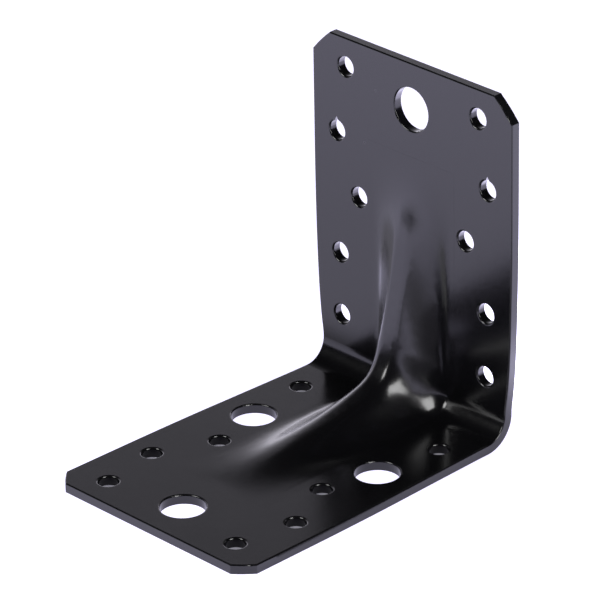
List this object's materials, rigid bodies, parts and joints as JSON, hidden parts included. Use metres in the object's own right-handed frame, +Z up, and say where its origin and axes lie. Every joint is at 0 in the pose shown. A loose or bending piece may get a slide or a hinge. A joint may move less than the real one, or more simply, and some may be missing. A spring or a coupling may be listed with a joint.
{
  "type": "reinforced angle bracket",
  "caption": "Right-angle timber connector pressed from one black-coated steel sheet, with a stiffening rib across the fold and nail and bolt holes in both legs.",
  "frame": {"origin": "middle of the part's footprint, on the underside of the base leg", "axes": "+Z up along the back leg, -Y along the base leg towards its free edge, +Y out of the back face, X across the width"},
  "size_m": [0.0652, 0.09, 0.09],
  "materials": {
    "black_coat": "semi-gloss black coating over steel"
  },
  "bodies": {
    "root": {"angle_bracket": "black_coat"}
  },
  "joints": []
}
